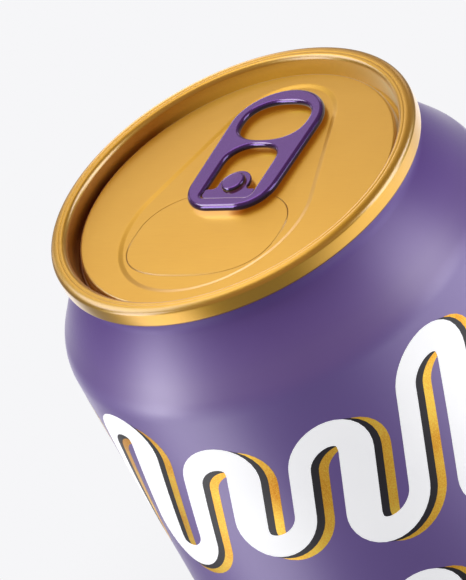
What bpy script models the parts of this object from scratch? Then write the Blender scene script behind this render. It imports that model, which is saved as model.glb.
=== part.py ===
"""A two-piece aluminium drinks can with a stay-on tab, at rest with the mouth closed.

Metres, +Z up. The origin is the centre of the ring that the can stands on. The mouth is towards -Y
and the tab's finger end towards +Y. Depths are measured down from the top of the rim.
"""

import math

import bmesh
import bpy

MM = 0.001

# Driving dimensions, in millimetres
HEIGHT = 115.2
BODY_RADIUS = 33.1
RIM_RADIUS = 28.18
RIM_INNER_RADIUS = 25.6
SEAM_HEIGHT = 3.0
SIDES = 48

# Sheet thicknesses
END_SHEET = 0.22
NECK_SHEET = 0.16
WALL_SHEET = 0.10
DOME_SHEET = 0.25

# The rim and the double seam under it
RIM_BEND = 0.84
HOOK_BEND = 0.62
COVER_HOOK_RADIUS = 27.05
COVER_HOOK_TIP = 1.35
BODY_HOOK_RADIUS = 27.57
BODY_HOOK_TOP = 0.835
BODY_HOOK_TIP = 2.35
NECK_RADIUS = 26.5
COMPOUND_INNER, COMPOUND_OUTER = 26.35, 27.75
COMPOUND_TOP, COMPOUND_BOTTOM = 0.40, 0.66
COMPOUND_CORNER = 0.08

# The shoulder and the base
SHOULDER_SLOPE = math.radians(33.4)
SHOULDER_START = 5.1
SHOULDER_BEND = 6.0
NECK_BEND = 2.5
STAND_RADIUS = 23.9
STAND_LAND = 0.8
STAND_BEND = 1.3
LEG_BEND = 0.7
LEG_TOP_OUT, LEG_TOP_DROP, LEG_FOOT_IN = 0.9, 0.5, 1.04
CHIME_FOOT_OUT = 0.45
DOME_HEIGHT = 10.3
DOME_RADIUS = 44.0
DOME_EDGE_RADIUS = 21.4
CHIME_SLOPE = math.radians(38)
CHIME_BEND = 6.5
WALL_BEND_STEPS = 4

# The end panel
PANEL_DEPTH = 2.15
PANEL_RADIUS = 24.3
PANEL_BEND = 0.7
COUNTERSINK_DEPTH = 4.2
COUNTERSINK_BEND = 0.56
RECESS_DEPTH = 0.15
RECESS_SLOPE_WIDTH = 0.7
RECESS_WALL = 0.13
RECESS_MOUTH_CENTRE, RECESS_MOUTH_RADIUS = -6.5, 15.2
RECESS_TAB_CENTRE, RECESS_TAB_RADIUS = 12.5, 9.6
FLOOR_DEPTH = PANEL_DEPTH + RECESS_DEPTH

# The mouth, an oval that stops at a straight hinge edge and goes round the rivet
MOUTH_CENTRE = -9.3
MOUTH_HALF_WIDTH = 12.7
MOUTH_HALF_HEIGHT = 8.75
MOUTH_REAR_POWER, MOUTH_FRONT_POWER = 2.4, 2.7
MOUTH_HINGE_EDGE = -1.75
MOUTH_RIVET_CLEARANCE = 2.3
SCORE_WIDTH = 0.3
TEAR_HINGE_Y = -1.6
TEAR_HINGE_DEPTH = FLOOR_DEPTH + END_SHEET

# The tab
TAB_TOP, TAB_BOTTOM = 1.0, 2.2
TAB_SHEET = 0.28
TAB_HEM = 0.45
TAB_SKIRT = 0.85
TAB_FINGER_HALF_WIDTH, TAB_FINGER_CENTRE, TAB_FINGER_LENGTH = 7.85, 12.9, 7.0
TAB_NOSE_HALF_WIDTH, TAB_NOSE_CORNER = 7.6, 5.2
FINGER_HOLE_CENTRE, FINGER_HOLE_HALF_WIDTH, FINGER_HOLE_HALF_LENGTH = 13.15, 5.7, 4.05
WEB_HOLE_ARCH_CENTRE, WEB_HOLE_HALF_WIDTH, WEB_HOLE_ARCH = 4.4, 4.45, 3.55
WEB_HOLE_FRONT, WEB_HOLE_CORNER = -3.1, 0.9
HOLE_POWER = 2.4
FOLD_Y, FOLD_DEPTH = -3.0, 2.1

# The island under the rivet, and the rivet
ISLAND_TOP, ISLAND_BOTTOM = 1.80, 2.05
ISLAND_RADIUS = 2.6
ISLAND_HALF_WIDTH, ISLAND_FRONT, ISLAND_REAR = 3.95, -2.8, -1.1
ISLAND_CORNER = 0.5
RIVET_SHANK_RADIUS, RIVET_HOLE_RADIUS, ISLAND_HOLE_RADIUS = 1.5, 1.62, 1.58
RIVET_HEAD_RADIUS, RIVET_HEAD_TOP, RIVET_HEAD_SEAT = 1.85, 1.38, 1.72
RIVET_FOOT_RADIUS, RIVET_FOOT_SEAT, RIVET_FOOT_BOTTOM = 1.9, 2.6, 2.95
RIVET_EDGE = 0.3

# How far a cutter passes the face it cuts, and a kept piece passes its cutter
CUT_PAST = 0.4
KEEP_PAST = 0.2

GOLD = (0.62, 0.34, 0.065)
PURPLE_TAB = (0.20, 0.10, 0.34)
PURPLE_BODY = (0.085, 0.045, 0.19)
GASKET_GREY = (0.32, 0.31, 0.30)


def clear_scene():
    for thing in list(bpy.data.objects):
        bpy.data.objects.remove(thing, do_unlink=True)


def material(name, colour, metallic, roughness):
    made = bpy.data.materials.new(name)
    made.use_nodes = True
    shader = made.node_tree.nodes["Principled BSDF"]
    shader.inputs["Base Color"].default_value = (*colour, 1.0)
    shader.inputs["Metallic"].default_value = metallic
    shader.inputs["Roughness"].default_value = roughness
    made.diffuse_color = (*colour, 1.0)
    return made


# ---------------------------------------------------------------- outlines and profiles


def arc(centre, radius, start, end, steps):
    """Points on a circle from one angle to another, in degrees, both ends included."""
    angles = [math.radians(start + (end - start) * i / steps) for i in range(steps + 1)]
    return [(centre[0] + radius * math.cos(a), centre[1] + radius * math.sin(a)) for a in angles]


def normals(points, closed):
    """At each point, the direction to the right of travel, lengthened to keep sheet sides parallel."""
    found = []
    last = len(points) - 1
    for i, here in enumerate(points):
        before = points[i - 1] if closed or i > 0 else None
        after = points[(i + 1) % len(points)] if closed or i < last else None
        sides = []
        for a, b in ((before, here), (here, after)):
            if a is not None and b is not None:
                length = math.dist(a, b)
                sides.append(((b[1] - a[1]) / length, (a[0] - b[0]) / length))
        x = sum(side[0] for side in sides)
        y = sum(side[1] for side in sides)
        stretch = len(sides) / (x * x + y * y)
        found.append((x * stretch, y * stretch))
    return found


def grown(outline, distance):
    """A counter-clockwise outline moved outwards by a distance."""
    return [
        (x + distance * nx, y + distance * ny)
        for (x, y), (nx, ny) in zip(outline, normals(outline, closed=True))
    ]


def sheet(path, thickness):
    """Both sides of a sheet whose middle follows the path. Thickness is one value or one per point."""
    if not isinstance(thickness, list):
        thickness = [thickness] * len(path)
    offsets = [
        (nx * t / 2, ny * t / 2) for (nx, ny), t in zip(normals(path, closed=False), thickness)
    ]
    right = [(x + dx, y + dy) for (x, y), (dx, dy) in zip(path, offsets)]
    left = [(x - dx, y - dy) for (x, y), (dx, dy) in zip(path, offsets)]
    return right, left


def bend(corner, before, after, radius, steps):
    """The arc that rounds a corner between the directions to two neighbouring points."""
    into = (corner[0] - before[0], corner[1] - before[1])
    out = (after[0] - corner[0], after[1] - corner[1])
    heading_in = math.atan2(into[1], into[0])
    turn = (math.atan2(out[1], out[0]) - heading_in + math.pi) % (2 * math.pi) - math.pi
    back = radius * math.tan(abs(turn) / 2)
    side = math.copysign(1, turn)
    start = (corner[0] - back * math.cos(heading_in), corner[1] - back * math.sin(heading_in))
    centre = (
        start[0] - side * radius * math.sin(heading_in),
        start[1] + side * radius * math.cos(heading_in),
    )
    first = math.degrees(heading_in) - side * 90
    return arc(centre, radius, first, first + math.degrees(turn), steps)


def superellipse(centre_y, half_width, half_height, power, start, end, steps):
    """Part of a superellipse about (0, centre_y), between two angles in degrees."""
    points = []
    for i in range(steps + 1):
        angle = math.radians(start + (end - start) * i / steps)
        c, s = math.cos(angle), math.sin(angle)
        x = math.copysign(abs(c) ** (2 / power), c) * half_width
        y = math.copysign(abs(s) ** (2 / power), s) * half_height
        points.append((x, centre_y + y))
    return points


def circle(radius, steps=SIDES):
    return arc((0, 0), radius, 0, 360 * (steps - 1) / steps, steps - 1)


# ---------------------------------------------------------------- solids


def finish(thing, look, smooth_angle=35):
    thing.data.materials.append(look)
    thing.data.shade_smooth()
    thing.data.set_sharp_from_angle(angle=math.radians(smooth_angle))
    return thing


def new_object(name, mesh):
    thing = bpy.data.objects.new(name, mesh)
    bpy.context.scene.collection.objects.link(thing)
    return thing


def turned(name, profile, look, closed):
    """A profile of (radius, height) spun about Z. It runs down its outer side, top to bottom."""
    mesh = bpy.data.meshes.new(name)
    count = len(profile)
    edges = [(i, (i + 1) % count) for i in range(count if closed else count - 1)]
    mesh.from_pydata([(r * MM, 0, z * MM) for r, z in profile], edges, [])
    thing = new_object(name, mesh)
    spin = thing.modifiers.new("spin", "SCREW")
    spin.axis = "Z"
    spin.angle = 2 * math.pi
    spin.steps = spin.render_steps = SIDES
    spin.use_merge_vertices = True
    spin.merge_threshold = 1e-6
    spin.use_smooth_shade = True
    mesh.materials.append(look)
    return thing


def lofted(name, rings, look=None, about=(0, 0)):
    """A closed solid through outlines of equal length, each (outline, depth), from the top down.

    Its origin is at (about y, about depth) on the YZ plane, so that it can turn there.
    """
    origin = (0, about[0] * MM, (HEIGHT - about[1]) * MM) if look else (0, 0, 0)
    work = bmesh.new()
    loops = []
    for outline, depth in rings:
        height = (HEIGHT - depth) * MM
        points = [(x * MM, y * MM - origin[1], height - origin[2]) for x, y in outline]
        loops.append([work.verts.new(point) for point in points])
    for upper, lower in zip(loops, loops[1:]):
        for i in range(len(upper)):
            work.faces.new((upper[i - 1], lower[i - 1], lower[i], upper[i]))
    work.faces.new(loops[0])
    work.faces.new(reversed(loops[-1]))
    mesh = bpy.data.meshes.new(name)
    work.to_mesh(mesh)
    work.free()
    thing = new_object(name, mesh)
    thing.location = origin
    if look:
        finish(thing, look)
    else:
        thing.hide_render = True
        thing.display_type = "WIRE"
    return thing


def through_cutter(name, outline, top, bottom):
    return lofted(name, [(outline, top - CUT_PAST), (outline, bottom + CUT_PAST)])


def boolean(thing, operation, other):
    step = thing.modifiers.new(f"{operation.lower()} {other.name}", "BOOLEAN")
    step.operation = operation
    step.object = other
    step.solver = "EXACT"


def cut(thing, *cutters):
    for cutter in cutters:
        boolean(thing, "DIFFERENCE", cutter)


# ---------------------------------------------------------------- the can body


def stand_ring_path():
    """The base from its centre to the bottom of the wall, as the middle of its sheet."""
    sag = DOME_RADIUS - math.sqrt(DOME_RADIUS**2 - DOME_EDGE_RADIUS**2)
    dome_steps = 5
    dome = []
    for i in range(dome_steps + 1):
        radius = DOME_EDGE_RADIUS * i / dome_steps
        drop = DOME_RADIUS - math.sqrt(DOME_RADIUS**2 - radius**2)
        dome.append((radius, DOME_HEIGHT - drop))
    dome_edge_height = DOME_HEIGHT - sag
    floor = DOME_SHEET / 2
    inner_foot = STAND_RADIUS - STAND_LAND / 2
    outer_foot = STAND_RADIUS + STAND_LAND / 2
    leg_top = (DOME_EDGE_RADIUS + LEG_TOP_OUT, dome_edge_height - LEG_TOP_DROP)
    leg_foot = (inner_foot - LEG_FOOT_IN, floor)
    chime_rise = math.tan(CHIME_SLOPE)
    wall_radius = BODY_RADIUS - WALL_SHEET / 2
    chime_foot = (outer_foot + CHIME_FOOT_OUT, floor)
    chime_top = (wall_radius, floor + (wall_radius - chime_foot[0]) * chime_rise)
    wall_up = (wall_radius, HEIGHT / 2)
    turns = dome
    turns += bend(leg_top, dome[-1], leg_foot, LEG_BEND, 2)
    turns += bend(leg_foot, leg_top, (inner_foot, floor), STAND_BEND, 3)
    turns += bend(chime_foot, (inner_foot, floor), chime_top, STAND_BEND, 3)
    turns += bend(chime_top, chime_foot, wall_up, CHIME_BEND, WALL_BEND_STEPS)
    return turns


def shoulder_path():
    """From the top of the wall over the shoulder and neck to the tip of the body hook."""
    wall_radius = BODY_RADIUS - WALL_SHEET / 2
    run = NECK_RADIUS + NECK_SHEET / 2
    rise = (BODY_RADIUS - run) / math.tan(SHOULDER_SLOPE)
    shoulder_bottom = (wall_radius, HEIGHT - SHOULDER_START - rise)
    shoulder_top = (NECK_RADIUS, HEIGHT - SHOULDER_START)
    bend_radius = (BODY_HOOK_RADIUS - NECK_RADIUS) / 2
    bend_centre = (
        NECK_RADIUS + bend_radius,
        HEIGHT - BODY_HOOK_TOP - NECK_SHEET / 2 - bend_radius,
    )
    path = bend(shoulder_bottom, (wall_radius, 0), shoulder_top, SHOULDER_BEND, WALL_BEND_STEPS)
    path += bend(shoulder_top, shoulder_bottom, (NECK_RADIUS, HEIGHT), NECK_BEND, 3)
    path += arc(bend_centre, bend_radius, 180, 0, 4)
    path.append((BODY_HOOK_RADIUS, HEIGHT - BODY_HOOK_TIP))
    return path


def make_can_body(look):
    base = stand_ring_path()
    shoulder = shoulder_path()
    wall_points = WALL_BEND_STEPS + 1
    thickness = [DOME_SHEET] * (len(base) - wall_points)
    thickness += [WALL_SHEET] * (2 * wall_points)
    thickness += [NECK_SHEET] * (len(shoulder) - wall_points)
    outside, inside = sheet(base + shoulder, thickness)
    outside[0] = (0, outside[0][1])
    inside[0] = (0, inside[0][1])
    return turned("can_body", inside + outside[::-1], look, closed=False)


# ---------------------------------------------------------------- the can end and its seam


def end_path():
    """The middle of the end's sheet, from the tip of its cover hook to the centre of its panel."""
    half = END_SHEET / 2
    wall = RIM_RADIUS - half
    hook = COVER_HOOK_RADIUS
    hook_bend = (wall - hook) / 2
    hook_centre = ((wall + hook) / 2, HEIGHT - SEAM_HEIGHT + half + hook_bend)
    rim_bend = RIM_BEND - half
    outer_centre = (RIM_RADIUS - RIM_BEND, HEIGHT - RIM_BEND)
    chuck = RIM_INNER_RADIUS + half
    inner_centre = (chuck + rim_bend, HEIGHT - RIM_BEND)
    sink = COUNTERSINK_BEND - half
    panel_wall = PANEL_RADIUS - half
    sink_centre = (panel_wall + sink, HEIGHT - COUNTERSINK_DEPTH + half + sink)
    panel_height = HEIGHT - PANEL_DEPTH - half
    panel_bend = PANEL_BEND - half
    panel_centre = (panel_wall - panel_bend, panel_height - panel_bend)
    path = [(hook, HEIGHT - COVER_HOOK_TIP)]
    path += arc(hook_centre, hook_bend, 180, 360, 4)
    path += arc(outer_centre, rim_bend, 0, 90, 3)
    path += arc(inner_centre, rim_bend, 90, 180, 3)
    path += arc(sink_centre, sink, 0, -180, 4)
    path += arc(panel_centre, panel_bend, 0, 90, 3)
    path.append((0, panel_height))
    return path


def recess_outline(inset):
    """The teardrop round the mouth and the tab: two circles and the straight lines that touch both."""
    wide = RECESS_MOUTH_RADIUS - inset
    narrow = RECESS_TAB_RADIUS - inset
    lean = math.degrees(math.asin((wide - narrow) / (RECESS_TAB_CENTRE - RECESS_MOUTH_CENTRE)))
    outline = arc((0, RECESS_TAB_CENTRE), narrow, lean, 180 - lean, 14)
    outline += arc((0, RECESS_MOUTH_CENTRE), wide, 180 - lean, 360 + lean, 24)
    return outline


def mouth_outline():
    """The scored line: an oval, straight along its hinge edge, with a notch round the rivet."""
    edge = MOUTH_HINGE_EDGE - MOUTH_CENTRE
    lift = math.asin((edge / MOUTH_HALF_HEIGHT) ** (MOUTH_REAR_POWER / 2))
    lift = math.degrees(lift)
    sizes = (MOUTH_CENTRE, MOUTH_HALF_WIDTH, MOUTH_HALF_HEIGHT)
    right = superellipse(*sizes, MOUTH_REAR_POWER, 0, lift, 5)
    left = superellipse(*sizes, MOUTH_REAR_POWER, 180 - lift, 180, 5)
    front = superellipse(*sizes, MOUTH_FRONT_POWER, 180, 360, 24)
    half_notch = math.degrees(math.acos(-MOUTH_HINGE_EDGE / MOUTH_RIVET_CLEARANCE))
    notch = arc((0, 0), MOUTH_RIVET_CLEARANCE, -90 + half_notch, -90 - half_notch, 6)
    return right + notch + left[:-1] + front[:-1]


def make_can_end(look):
    right, left = sheet(end_path(), END_SHEET)
    right[-1] = (0, right[-1][1])
    left[-1] = (0, left[-1][1])
    end = turned("can_end", right[::-1] + left, look, closed=False)
    under = FLOOR_DEPTH + END_SHEET
    slope = RECESS_SLOPE_WIDTH
    tray = lofted(
        "recess_tray",
        [
            (recess_outline(-RECESS_WALL), PANEL_DEPTH + END_SHEET / 2),
            (recess_outline(slope - RECESS_WALL), under),
        ],
    )
    # The cutter's slope carries on above the panel, so that it leaves no step at the panel's face.
    above = PANEL_DEPTH - RECESS_DEPTH
    hollow = lofted(
        "recess_hollow",
        [(recess_outline(-slope), above), (recess_outline(slope), FLOOR_DEPTH)],
    )
    mouth = through_cutter("mouth_cutter", mouth_outline(), FLOOR_DEPTH, under)
    rivet_hole = through_cutter(
        "rivet_hole_cutter", circle(RIVET_HOLE_RADIUS), FLOOR_DEPTH, under
    )
    boolean(end, "UNION", tray)
    cut(end, hollow, mouth, rivet_hole)
    return end


def make_seam_compound(look):
    corner = COMPOUND_CORNER
    inner, outer = COMPOUND_INNER, COMPOUND_OUTER
    top, bottom = HEIGHT - COMPOUND_TOP, HEIGHT - COMPOUND_BOTTOM
    profile = [
        (outer - corner, top),
        (outer, top - corner),
        (outer, bottom + corner),
        (outer - corner, bottom),
        (inner + corner, bottom),
        (inner, bottom + corner),
        (inner, top - corner),
        (inner + corner, top),
    ]
    return turned("seam_compound", profile, look, closed=True)


def make_tear_panel(look):
    outline = grown(mouth_outline(), -SCORE_WIDTH)
    rings = [(outline, FLOOR_DEPTH), (outline, FLOOR_DEPTH + END_SHEET)]
    return lofted("tear_panel", rings, look, about=(TEAR_HINGE_Y, TEAR_HINGE_DEPTH))


# ---------------------------------------------------------------- the tab and its rivet


def tab_outline():
    finger = superellipse(
        TAB_FINGER_CENTRE, TAB_FINGER_HALF_WIDTH, TAB_FINGER_LENGTH, 2.0, 0, 180, 16
    )
    corner_x = TAB_NOSE_HALF_WIDTH - TAB_NOSE_CORNER
    left = arc((-corner_x, 0), TAB_NOSE_CORNER, 180, 270, 7)
    right = arc((corner_x, 0), TAB_NOSE_CORNER, 270, 360, 7)
    return finger + left + right


def finger_hole_outline():
    sizes = (FINGER_HOLE_CENTRE, FINGER_HOLE_HALF_WIDTH, FINGER_HOLE_HALF_LENGTH)
    return superellipse(*sizes, HOLE_POWER, 0, 350, 35)


def web_hole_outline():
    """The hole round the rivet: arched towards the finger end, square towards the nose."""
    sizes = (WEB_HOLE_ARCH_CENTRE, WEB_HOLE_HALF_WIDTH, WEB_HOLE_ARCH)
    arch = superellipse(*sizes, HOLE_POWER, 0, 180, 16)
    x = WEB_HOLE_HALF_WIDTH - WEB_HOLE_CORNER
    y = WEB_HOLE_FRONT + WEB_HOLE_CORNER
    left = arc((-x, y), WEB_HOLE_CORNER, 180, 270, 3)
    right = arc((x, y), WEB_HOLE_CORNER, 270, 360, 3)
    return arch + left + right


def hem_rings(outline, inwards):
    """A rounded edge down a plate's side: the outline at each depth. inwards is +1, or -1 for a hole."""
    top = TAB_TOP + TAB_HEM
    bottom = TAB_BOTTOM - TAB_HEM
    rings = []
    for turn in (90, 45, 0):
        away = TAB_HEM * (1 - math.cos(math.radians(turn)))
        rings.append((away, top - TAB_HEM * math.sin(math.radians(turn))))
    for turn in (0, 45, 90):
        away = TAB_HEM * (1 - math.cos(math.radians(turn)))
        rings.append((away, bottom + TAB_HEM * math.sin(math.radians(turn))))
    return [(grown(outline, -inwards * away), depth) for away, depth in rings]


def hole_cutter(name, outline):
    rings = hem_rings(outline, -1)
    flared = grown(outline, TAB_HEM)
    rings = [(flared, TAB_TOP - CUT_PAST), *rings, (flared, TAB_BOTTOM + CUT_PAST)]
    return lofted(name, rings)


def make_tab(look):
    fold = (FOLD_Y, FOLD_DEPTH)
    tab = lofted("tab", hem_rings(tab_outline(), 1), look, about=fold)
    ceiling = TAB_TOP + TAB_SHEET
    below = TAB_BOTTOM + CUT_PAST
    pocket = lofted(
        "tab_pocket",
        [(grown(tab_outline(), -TAB_SKIRT), ceiling), (grown(tab_outline(), -TAB_SKIRT), below)],
    )

    def skirt(name, hole):
        outline = grown(hole, TAB_SKIRT)
        return lofted(name, [(outline, ceiling - KEEP_PAST), (outline, below + KEEP_PAST)])

    keep_finger = skirt("finger_hole_skirt", finger_hole_outline())
    keep_web = skirt("web_hole_skirt", web_hole_outline())
    cut(pocket, keep_finger, keep_web)
    cut(tab, pocket, hole_cutter("finger_hole_cutter", finger_hole_outline()))
    cut(tab, hole_cutter("web_hole_cutter", web_hole_outline()))
    return tab


def make_tab_island(look):
    """The round tongue that the rivet clamps, with the web that runs to the tab's fold."""
    corner = ISLAND_CORNER
    turn = math.degrees(math.acos(ISLAND_REAR / ISLAND_RADIUS)) - 90
    outline = arc((0, 0), ISLAND_RADIUS, -turn, 180 + turn, 22)
    x, rear, front = ISLAND_HALF_WIDTH, ISLAND_REAR, ISLAND_FRONT
    outline += arc((-x + corner, rear - corner), corner, 90, 180, 3)
    outline += [(-x, front), (x, front)]
    outline += arc((x - corner, rear - corner), corner, 0, 90, 3)
    rings = [(outline, ISLAND_TOP), (outline, ISLAND_BOTTOM)]
    island = lofted("tab_island", rings, look, about=(0, ISLAND_BOTTOM))
    hole = circle(ISLAND_HOLE_RADIUS, 32)
    cut(island, through_cutter("island_bore", hole, ISLAND_TOP, ISLAND_BOTTOM))
    return island


def make_rivet(look):
    head, foot, shank = RIVET_HEAD_RADIUS, RIVET_FOOT_RADIUS, RIVET_SHANK_RADIUS
    outside = [
        (0, RIVET_HEAD_TOP),
        (head - 2 * RIVET_EDGE, RIVET_HEAD_TOP),
        (head - RIVET_EDGE / 2, RIVET_HEAD_TOP + RIVET_EDGE / 3),
        (head, RIVET_HEAD_TOP + 2 * RIVET_EDGE / 3),
        (head, RIVET_HEAD_SEAT),
        (shank, RIVET_HEAD_SEAT),
        (shank, RIVET_FOOT_SEAT),
        (foot, RIVET_FOOT_SEAT),
        (foot, RIVET_FOOT_BOTTOM - RIVET_EDGE / 2),
        (foot - RIVET_EDGE / 2, RIVET_FOOT_BOTTOM),
        (0, RIVET_FOOT_BOTTOM),
    ]
    profile = [(radius, HEIGHT - depth) for radius, depth in outside]
    return turned("rivet", profile, look, closed=False)


def main():
    clear_scene()
    body_purple = material("body_purple", PURPLE_BODY, metallic=0.35, roughness=0.42)
    end_gold = material("end_gold", GOLD, metallic=1.0, roughness=0.28)
    tab_purple = material("tab_purple", PURPLE_TAB, metallic=1.0, roughness=0.22)
    gasket = material("gasket", GASKET_GREY, metallic=0.0, roughness=0.7)
    make_can_body(body_purple)
    make_can_end(end_gold)
    make_seam_compound(gasket)
    make_tear_panel(end_gold)
    make_tab(tab_purple)
    make_tab_island(tab_purple)
    make_rivet(tab_purple)


main()
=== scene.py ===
import math

import bmesh
import bpy
import numpy as np
from mathutils import Matrix, Vector
from mathutils.geometry import delaunay_2d_cdt


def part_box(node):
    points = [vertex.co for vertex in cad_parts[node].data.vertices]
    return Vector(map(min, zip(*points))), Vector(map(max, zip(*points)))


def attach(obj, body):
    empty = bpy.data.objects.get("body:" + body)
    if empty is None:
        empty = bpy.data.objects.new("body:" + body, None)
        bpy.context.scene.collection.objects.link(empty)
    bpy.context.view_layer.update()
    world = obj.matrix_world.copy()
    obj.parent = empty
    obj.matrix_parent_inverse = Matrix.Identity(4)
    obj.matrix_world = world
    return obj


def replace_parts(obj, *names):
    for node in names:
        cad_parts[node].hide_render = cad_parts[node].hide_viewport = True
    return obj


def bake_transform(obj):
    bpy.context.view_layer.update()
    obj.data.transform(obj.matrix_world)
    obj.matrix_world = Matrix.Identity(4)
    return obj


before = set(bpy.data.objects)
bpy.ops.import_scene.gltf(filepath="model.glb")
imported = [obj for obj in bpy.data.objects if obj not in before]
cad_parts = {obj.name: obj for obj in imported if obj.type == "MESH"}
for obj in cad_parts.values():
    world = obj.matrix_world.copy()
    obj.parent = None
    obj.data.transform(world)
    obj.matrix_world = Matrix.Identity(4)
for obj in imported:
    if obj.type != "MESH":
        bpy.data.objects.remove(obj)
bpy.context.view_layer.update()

# Everything below is in millimetres, in the frame's axes, until a mesh is made from it.
MM = 0.001


def corners(node):
    """A node's lowest and highest corners."""
    return [[value / MM for value in point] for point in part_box(node)]


# ---------------------------------------------------------------- sizes taken from the frame

BODY_RADIUS = corners("can_body")[1][0]
RIM_RADIUS, _, HEIGHT = corners("can_end")[1]
(_, PANEL_FRONT, FLOOR_UNDER_Z), (PANEL_HALF_WIDTH, _, FLOOR_Z) = corners("tear_panel")
END_SHEET = FLOOR_Z - FLOOR_UNDER_Z
CAD_SCORE = 0.3
MOUTH_HALF_WIDTH, MOUTH_FRONT = PANEL_HALF_WIDTH + CAD_SCORE, PANEL_FRONT - CAD_SCORE
(_, TAB_NOSE, TAB_BOTTOM_Z), (TAB_HALF_WIDTH, TAB_FINGER_END, TAB_TOP_Z) = corners("tab")
RIVET_BOTTOM_Z = corners("rivet")[0][2]

# ---------------------------------------------------------------- the design's other sizes

TURN_STEPS = 240
RIM_CROWN_WIDTH, RIM_CROWN_HEIGHT = 1.28, 0.75
RIM_GROOVE_WIDTH, RIM_GROOVE_DEPTH = 0.42, 0.03
RIM_LEDGE_BEND = 0.8
CHUCK_TOP_RADIUS, CHUCK_BOTTOM_RADIUS = 25.62, 25.34
SEAM_HEIGHT = 3.0
COVER_HOOK_RADIUS, COVER_HOOK_TIP = 27.05, 1.35
BODY_HOOK_RADIUS, BODY_HOOK_TOP, BODY_HOOK_TIP = 27.57, 0.835, 2.35
NECK_RADIUS, NECK_SHEET, WALL_SHEET, DOME_SHEET = 26.5, 0.16, 0.10, 0.25
SHOULDER_SLOPE, SHOULDER_START, SHOULDER_BEND, NECK_BEND = math.radians(33.4), 5.1, 6.0, 2.5
STAND_RADIUS, STAND_LAND, STAND_BEND = 23.9, 0.8, 1.3
DOME_HEIGHT, DOME_RADIUS, DOME_EDGE_RADIUS = 10.3, 44.0, 21.4
CHIME_SLOPE, CHIME_BEND = math.radians(38), 6.5
CHIME_STEPS, SHOULDER_STEPS = 16, 20

PANEL_Z = FLOOR_Z + 0.15
PANEL_RADIUS, PANEL_BEND = 24.5, 0.45
COUNTERSINK_DEPTH = 4.2
RECESS_SLOPE_WIDTH, RECESS_SOFTNESS = 0.78, 0.12
RECESS_MOUTH_CENTRE, RECESS_MOUTH_RADIUS = -6.5, 15.2
RECESS_TAB_CENTRE, RECESS_TAB_RADIUS = 12.5, 9.6

MOUTH_CENTRE = -9.3
MOUTH_REAR_POWER, MOUTH_FRONT_POWER = 2.4, 2.7
MOUTH_HINGE_EDGE, MOUTH_RIVET_CLEARANCE = -1.75, 2.3
SCORE_HALF_WIDTH, SCORE_DEPTH, SCORE_GAP = 0.1, 0.09, 0.006

TAB_FINGER_LENGTH = 7.0
TAB_NOSE_HALF_WIDTH, TAB_NOSE_CORNER = TAB_HALF_WIDTH - 0.25, 5.2
TAB_SHEET, HOLE_HEM = 0.2, 0.5
FINGER_HOLE_CENTRE, FINGER_HOLE_HALF_WIDTH, FINGER_HOLE_HALF_LENGTH = 13.15, 5.7, 4.05
WEB_HOLE_ARCH_CENTRE, WEB_HOLE_HALF_WIDTH, WEB_HOLE_ARCH = 4.4, 4.45, 3.55
WEB_HOLE_FRONT, WEB_HOLE_CORNER, HOLE_POWER = -3.1, 0.9, 2.4
ISLAND_RADIUS, ISLAND_HALF_WIDTH, ISLAND_FRONT, ISLAND_CORNER = 2.6, 4.38, -3.08, 0.3
ISLAND_STEP, ISLAND_SHEET, RIVET_RISE = 0.3, 0.45, 0.55
SLOT_Y, SLOT_RADIUS = -0.4, 0.8
RIVET_HOLE_RADIUS, RIVET_SHANK_RADIUS = 1.62, 1.5
WEB_SHEET_SHARE, WEB_LAP_REAR, WEB_LAP_FRONT, WEB_SAG = 0.86, 0.25, 0.2, 0.02
BRIDGE_PLACE, BRIDGE_HALF_WIDTH, BRIDGE_SHEET, BRIDGE_DROP = 4.6, 2.0, 0.12, 0.07
BRIDGE_REAR, BRIDGE_FRONT, BRIDGE_FOLD = 0.55, 0.85, 0.35

CAMERA_TURN = math.radians(46.07)
CAMERA_RISE = math.radians(32.22)
CAMERA_ROLL = math.radians(-29.59)
CAMERA_DISTANCE = 952.9
CAMERA_SHIFT = (0.40, -15.97)
CAMERA_LENS, CAMERA_SENSOR = 421.3, 36.0


# ---------------------------------------------------------------- directions, outlines and profiles


def direction(turn, rise):
    """The unit vector at an azimuth, turning left from -Y seen from above, and an elevation."""
    level = math.cos(rise)
    return Vector((math.sin(turn) * level, -math.cos(turn) * level, math.sin(rise)))



def arc(centre, radius, start, end, steps):
    """Points on a circle from one angle to another, in degrees, both ends included."""
    angles = [math.radians(start + (end - start) * i / steps) for i in range(steps + 1)]
    return [(centre[0] + radius * math.cos(a), centre[1] + radius * math.sin(a)) for a in angles]


def normals(points, closed):
    """At each point, the direction to the right of travel, lengthened to keep sides parallel."""
    found = []
    last = len(points) - 1
    for i, here in enumerate(points):
        before = points[i - 1] if closed or i > 0 else None
        after = points[(i + 1) % len(points)] if closed or i < last else None
        sides = []
        for a, b in ((before, here), (here, after)):
            if a is not None and b is not None:
                length = math.dist(a, b)
                sides.append(((b[1] - a[1]) / length, (a[0] - b[0]) / length))
        x = sum(side[0] for side in sides)
        y = sum(side[1] for side in sides)
        stretch = len(sides) / (x * x + y * y)
        found.append((x * stretch, y * stretch))
    return found


def grown(outline, distance):
    """A counter-clockwise outline moved outwards by a distance."""
    return [
        (x + distance * nx, y + distance * ny)
        for (x, y), (nx, ny) in zip(outline, normals(outline, closed=True))
    ]


def sheet(path, thickness):
    """The right and left sides of a sheet whose middle follows the path."""
    if not isinstance(thickness, list):
        thickness = [thickness] * len(path)
    ways = normals(path, closed=False)
    halves = [(nx * t / 2, ny * t / 2) for (nx, ny), t in zip(ways, thickness)]
    right = [(x + dx, y + dy) for (x, y), (dx, dy) in zip(path, halves)]
    left = [(x - dx, y - dy) for (x, y), (dx, dy) in zip(path, halves)]
    return right, left


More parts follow.
